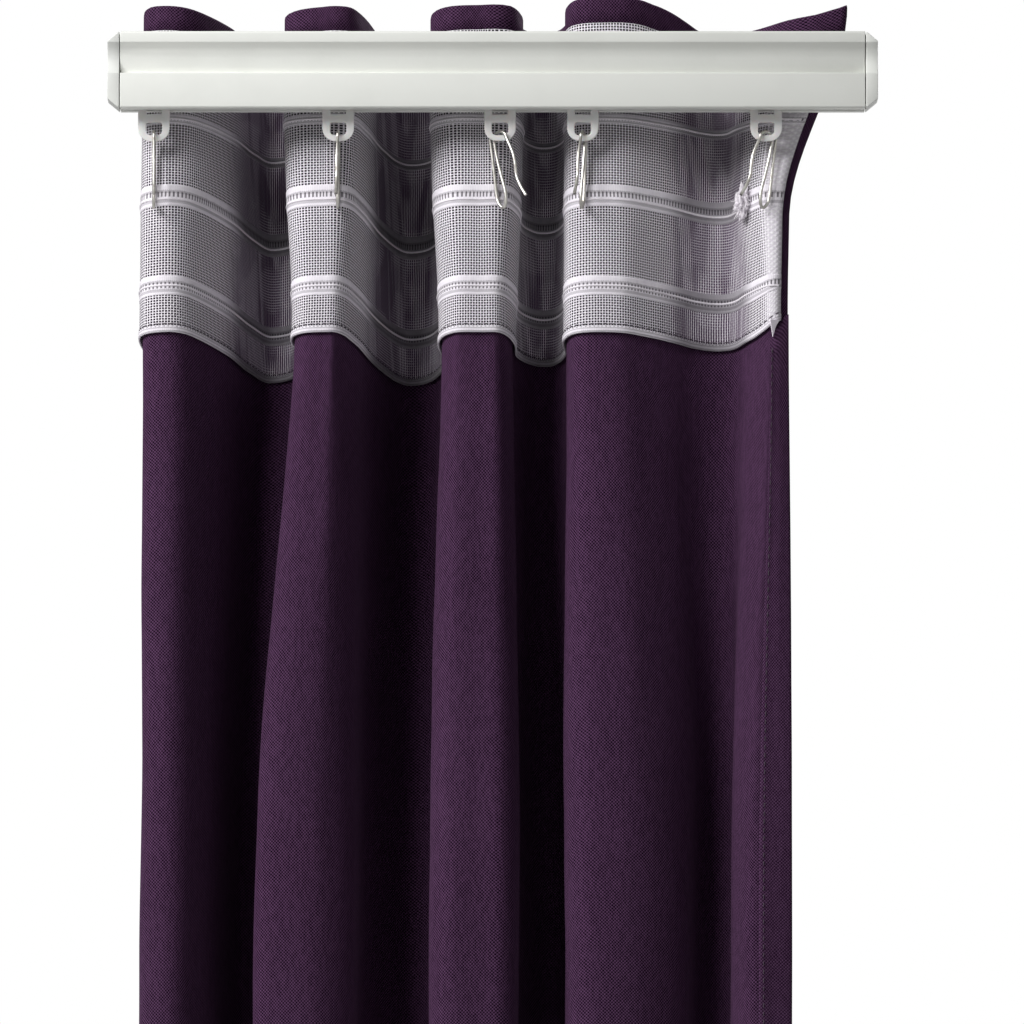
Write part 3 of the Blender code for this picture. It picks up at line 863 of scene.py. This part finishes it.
# %% Tape end finish
cotton_tape, fold_shader, fold_start = new_material("tape_fold", Specular_IOR_Level=0.1)
fold_threads = clouds(fold_start, 900, 2, stretched(fold_start, 0.3))
connect(fold_threads.paint((0.62, 0.55, 0.64), (0.93, 0.88, 0.94)), fold_shader, "Base Color")
connect(fold_threads * 0.1 + 0.85, fold_shader, "Roughness")
bump(fold_threads, fold_shader, 0.0002, 0.6)

# %% Band finish


def band_finish(name, half, slots_between, pitch):
    """White rows with slots between them; the slots lie between two heights of the band."""
    material, shader, start = new_material(name, Specular_IOR_Level=0.1, Sheen_Weight=0.1)
    weft, height = surface_place(start)
    loose = start.add("ShaderNodeAttribute", {"attribute_name": "loose"}, {}, output=2)
    low, high = slots_between
    in_slots = height.step(low, low + 0.0003) * (1 - height.step(high - 0.0003, high))
    slot_wave = (weft * (1 / pitch) + clouds(start, 90, 2) * 0.8).wave()
    slots = in_slots * slot_wave.step(0.45, 0.8)
    yarn = (weft * (1 / 0.0006)).wave() * 0.35 + clouds(start, 500, 2) * 0.65
    gaps = (height * (1 / (half * 0.9)) + yarn * 0.2).wave().step(0.15, 0.35)
    mask = (1 - slots * 0.75) * (1 - (1 - gaps) * 0.35)
    thin = 1 - loose * (0.55 + yarn * 0.3)
    thread = yarn.paint((0.72, 0.67, 0.75), (0.95, 0.92, 0.96))
    # Slots, gaps between rows and thinned threads show the hole colour: the cloth behind in painted shade.
    connect((mask * thin).paint(HOLE_IN_PAINTED_SHADE, thread), shader, "Base Color")
    connect(mask * -0.1 + 0.88, shader, "Roughness")
    bump(mask * 0.7 + yarn * 0.3, shader, 0.0003, 0.9)
    return material


def add_band(name, middle, height, finish, proud=0.0002, step=0.0022):
    high, low = middle + height / 2, middle - height / 2
    lift = TAPE_FRONT + proud
    rows = [(high, TAPE_FRONT), (high - 0.0002, lift)]
    rows += rows_between(high - 0.0006, low + 0.0006, 0.0012, lift)
    rows += [(low + 0.0002, lift), (low, TAPE_FRONT)]
    mapped = height / 2 + proud
    band = cloth_grid(name, tape_columns, rows, 0.0003, finish, mapped=mapped, shift=tape_corner)
    spread(band, "tape")
    return band


UPPER_BAND, MIDDLE_BAND, LOWER_BAND = -0.0301, -0.0586, -0.0917
bands = [
    add_band("upper_band", UPPER_BAND, 0.0034,
             band_finish("upper_band", 0.0017, (-0.0006, 0.0006), 0.0010)),
    add_band("middle_band", MIDDLE_BAND, 0.0078,
             band_finish("middle_band", 0.0039, (-0.0006, 0.0016), 0.0013)),
    add_band("lower_band", LOWER_BAND, 0.0070,
             band_finish("lower_band", 0.0035, (-0.0012, 0.0014), 0.0013)),
    add_band("bottom_binding", TAPE_BOTTOM + 0.0011, 0.0024,
             band_finish("bottom_binding", 0.0012, (0.0007, 0.0012), 0.0014), proud=0.0004),
]
end_t = tape_columns[-1][1]
corner = surface(end_t, TAPE_BOTTOM + tape_corner(end_t, TAPE_BOTTOM), TAPE_FRONT)
inward = (surface(end_t - 0.6, TAPE_BOTTOM, TAPE_FRONT) - corner).xy.normalized().to_3d()
outward = (surface(end_t, TAPE_BOTTOM, TAPE_FRONT + 0.001) - surface(end_t, TAPE_BOTTOM, TAPE_FRONT)) * 1000
point_bm = bmesh.new()
outline = [corner + inward * 0.0006, corner + inward * 0.0044 - Vector((0, 0, 0.0002))]
outline += [corner + inward * 0.0034 - Vector((0, 0, 0.0062)), corner + inward * 0.0022 - Vector((0, 0, 0.0024))]
base = point_bm.faces.new([point_bm.verts.new(place) for place in outline])
grown = bmesh.ops.extrude_face_region(point_bm, geom=[base])
risen = [item for item in grown["geom"] if isinstance(item, bmesh.types.BMVert)]
bmesh.ops.translate(point_bm, verts=risen, vec=outward * 0.0007)
bmesh.ops.recalc_face_normals(point_bm, faces=point_bm.faces)
point_mesh = bpy.data.meshes.new("tape_end_point")
point_bm.to_mesh(point_mesh)
point_bm.free()
point_mesh.materials.append(cotton_tape)
tape_point = bpy.data.objects.new("tape_end_point", point_mesh)
bpy.context.scene.collection.objects.link(tape_point)
spread(tape_point, "tape")
tape_length - TAPE_END_MARGIN
print("bands made")

# %% [markdown]
# ## Draw cords
# A cord runs in each band and gathers the tape when it is pulled. In the valleys,
# where the net has slipped open, the cord shows as a thin pale line.

# %% Cord finish and runs
cotton, cotton_shader, cotton_start = new_material("cotton_cord", Sheen_Weight=0.3)
fluff = clouds(cotton_start, 1500, 3)
connect(fluff.paint((0.72, 0.66, 0.74), (0.96, 0.93, 0.96)), cotton_shader, "Base Color")
connect(fluff * 0.1 + 0.85, cotton_shader, "Roughness")
bump(fluff, cotton_shader, 0.0002, 0.8)

CORD = 0.0008
KNOT_LOW, KNOT_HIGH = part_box("cord_knot")
knot_x = (KNOT_LOW[0] + KNOT_HIGH[0]) / 2 + 0.0056
knot_run, knot_t = next(
    place for place in HEADING_LENGTHS
    if place[1] > LAST_VALLEY and surface(place[1], MIDDLE_BAND).x > knot_x
)
for name, height, end in (
    ("upper", UPPER_BAND, tape_length - TAPE_END_MARGIN - 0.001),
    ("middle", MIDDLE_BAND - 0.0014, knot_run),
    ("lower", LOWER_BAND, tape_length - TAPE_END_MARGIN - 0.001),
):
    cord_columns = even_columns(HEADING_LENGTHS, 0.002, end, 0.0016)
    points = [surface(t, height, TAPE_FRONT + 0.0003) for _, t in cord_columns]
    cord = tube(f"draw_cord_{name}_run", points, CORD, cotton, sides=2)
    replaced = [f"draw_cord_{k}" for k in range(1, 6)] if name == "middle" else []
    spread(cord, "cord", *replaced)
print("cords made")

# %% [markdown]
# ## Stitches
# The tape's bottom edge, the right side hem and the bottom hem are held by rows
# of machine stitches. A stitch has only a few faces, because there are hundreds.

# %% Stitch rows
thread_dark, thread_shader, thread_start = new_material("sewing_thread", Sheen_Weight=0.2)
twist = clouds(thread_start, 2500, 1)
connect(twist.paint((0.012, 0.006, 0.014), (0.06, 0.035, 0.06)), thread_shader, "Base Color")
connect(twist * 0.1 + 0.6, thread_shader, "Roughness")
STITCH_THICKNESS = 0.00036


def stitch_row(name, places, slot):
    """Short rounded stitches between pairs of places."""
    bm = bmesh.new()
    for start, end in places:
        run = end - start
        turn = run.to_track_quat("X", "Z").to_matrix().to_4x4()
        size = Matrix.Diagonal((run.length / 2, STITCH_THICKNESS / 2, STITCH_THICKNESS / 2, 1))
        matrix = Matrix.Translation((start + end) / 2) @ turn @ size
        bmesh.ops.create_uvsphere(bm, u_segments=5, v_segments=4, radius=1, matrix=matrix)
    mesh = bpy.data.meshes.new(name)
    bm.to_mesh(mesh)
    bm.free()
    mesh.shade_smooth()
    mesh.materials.append(thread_dark)
    piece = bpy.data.objects.new(name, mesh)
    bpy.context.scene.collection.objects.link(piece)
    spread(piece, slot)
    print(name, len(places), "stitches")


def along_folds(height, offset, pitch, length, start, end, places, shift=lambda t, z: 0):
    columns = even_columns(places, start, end, pitch)
    share = length / pitch
    found = []
    for (_, t_a), (_, t_b) in zip(columns, columns[1:]):
        t_end = t_a + (t_b - t_a) * share
        found.append(tuple(surface(t, height + shift(t, height), offset) for t in (t_a, t_end)))
    return found


def down_edge(t, high, low, offset, pitch, length):
    count = int((high - low) / pitch)
    found = []
    for step in range(count):
        z = high - step * pitch
        found.append((surface(t, z, offset), surface(t, z - length, offset)))
    return found


end = tape_length - TAPE_END_MARGIN
stitch_row("tape_bottom_stitches", along_folds(
    TAPE_BOTTOM + 0.0029, TAPE_FRONT + 0.0003, 0.0024, 0.0019, 0.001, end, HEADING_LENGTHS,
    tape_corner), "cord")
stitch_row("bottom_hem_stitches", along_folds(
    HEM_Z + BOTTOM_HEM - 0.002, FRONT + 0.0004, 0.003, 0.0021, 0.001, CLOTH_WIDTH - 0.001,
    FREE_LENGTHS), "cord")
hem_t = even_columns(FREE_LENGTHS, CLOTH_WIDTH - SIDE_HEM + 0.0016, CLOTH_WIDTH, 1)[0][1]
stitch_row("right_hem_stitches", down_edge(
    hem_t, HEM_UNDER_TAPE - 0.002, HEM_Z + BOTTOM_HEM, FRONT + 0.0004, 0.003, 0.0021), "cord")

# %% [markdown]
# ## Knot
# The draw cord ends in a loose cotton knot near the last hook. It is a lumpy
# ball with the cut fibres fluffing out of it.

# %% Knot and its fluff
KNOT_OUT, KNOT_FULLER = 0.0022, 1.2
knot_bm = bmesh.new()
bmesh.ops.create_icosphere(knot_bm, subdivisions=5, radius=0.5)
knot_size = [KNOT_HIGH[i] - KNOT_LOW[i] for i in range(3)]
knot_middle = surface(knot_t, MIDDLE_BAND, TAPE_FRONT + KNOT_OUT)
for vert in knot_bm.verts:
    lumps = noise.noise(vert.co * 4.2) * 0.6 + noise.noise(vert.co * 11) * 0.35
    lumps += noise.noise(vert.co * 26) * 0.14
    vert.co *= 1.02 + lumps
    vert.co = knot_middle + Vector([vert.co[i] * knot_size[i] * KNOT_FULLER for i in range(3)])
knot_mesh = bpy.data.meshes.new("knot_ball")
knot_bm.to_mesh(knot_mesh)
knot_bm.free()
knot_mesh.shade_smooth()
knot_mesh.materials.append(cotton)
knot = bpy.data.objects.new("knot_ball", knot_mesh)
bpy.context.scene.collection.objects.link(knot)
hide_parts("cord_knot")
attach(knot, "section_5")

FIBRES, FIBRE = 60, 0.00026
GOLDEN_ANGLE = math.pi * (3 - math.sqrt(5))
fibres = []
for k in range(FIBRES):
    angle = k * GOLDEN_ANGLE
    rise = 1 - 2 * (k + 0.5) / FIBRES
    ring = math.sqrt(1 - rise * rise)
    out = Vector((ring * math.cos(angle), -abs(ring * math.sin(angle)), rise))
    root = knot_middle + Vector([out[i] * knot_size[i] * 0.4 for i in range(3)])
    curl = Vector((noise.noise(out * 3), noise.noise(out * 5) - 0.3, noise.noise(out * 7) - 0.5))
    reaches = [step / 4 for step in range(5)]
    fibres.append([root + out * 0.0014 * reach + curl * 0.0024 * reach**2 for reach in reaches])
fluff_piece = tubes("knot_fluff", fibres, FIBRE, cotton, sides=0)
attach(fluff_piece, "section_5")
print("knot with", FIBRES, "fibres")
